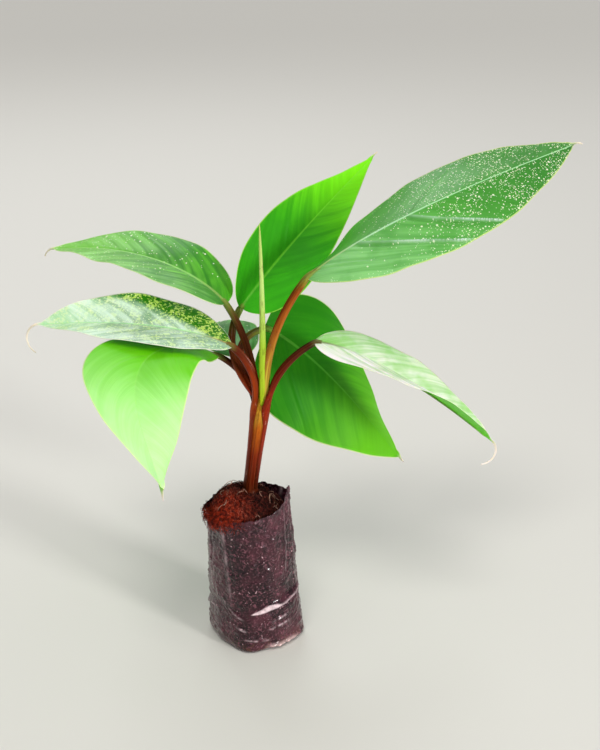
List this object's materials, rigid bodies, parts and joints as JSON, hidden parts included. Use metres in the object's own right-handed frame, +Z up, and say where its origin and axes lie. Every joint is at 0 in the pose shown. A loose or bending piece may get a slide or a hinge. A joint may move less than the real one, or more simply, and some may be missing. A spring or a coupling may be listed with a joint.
{
  "type": "young banana plant in a grow bag",
  "caption": "Young banana plant with a leaning red pseudostem, arching petioles, broad pointed leaves and a rolled spear leaf, standing in a filled black nursery grow bag.",
  "frame": {"origin": "centre of the grow bag's flat underside", "axes": "+Z up, -Y towards the viewer, +X to the viewer's right"},
  "size_m": [0.5393, 0.3737, 0.5037],
  "materials": {
    "film": "satin",
    "coir": "matte",
    "sheath": "satin",
    "spear": "satin",
    "petiole_orange": "satin",
    "petiole_maroon": "satin",
    "petiole_red": "satin",
    "leaf_spotted": "satin",
    "leaf_pale_sheen": "satin",
    "leaf_green": "satin",
    "leaf_lime": "satin"
  },
  "bodies": {
    "root": {"grow_bag": "film", "coir": "coir", "pseudostem": "sheath", "spear": "spear", "petiole_right_upper": "petiole_orange", "petiole_right_lower": "petiole_maroon", "petiole_left_upper": "petiole_red", "petiole_left_hanging": "petiole_maroon", "petiole_back_low": "petiole_red", "petiole_back_high": "petiole_red", "petiole_back_left": "petiole_maroon", "petiole_back_middle": "petiole_maroon", "leaf_right_upper": "leaf_spotted", "leaf_right_lower": "leaf_pale_sheen", "leaf_left_upper": "leaf_spotted", "leaf_left_hanging": "leaf_lime", "leaf_back_low": "leaf_green", "leaf_back_high": "leaf_green", "leaf_back_left": "leaf_lime", "leaf_back_middle": "leaf_green"}
  },
  "joints": []
}
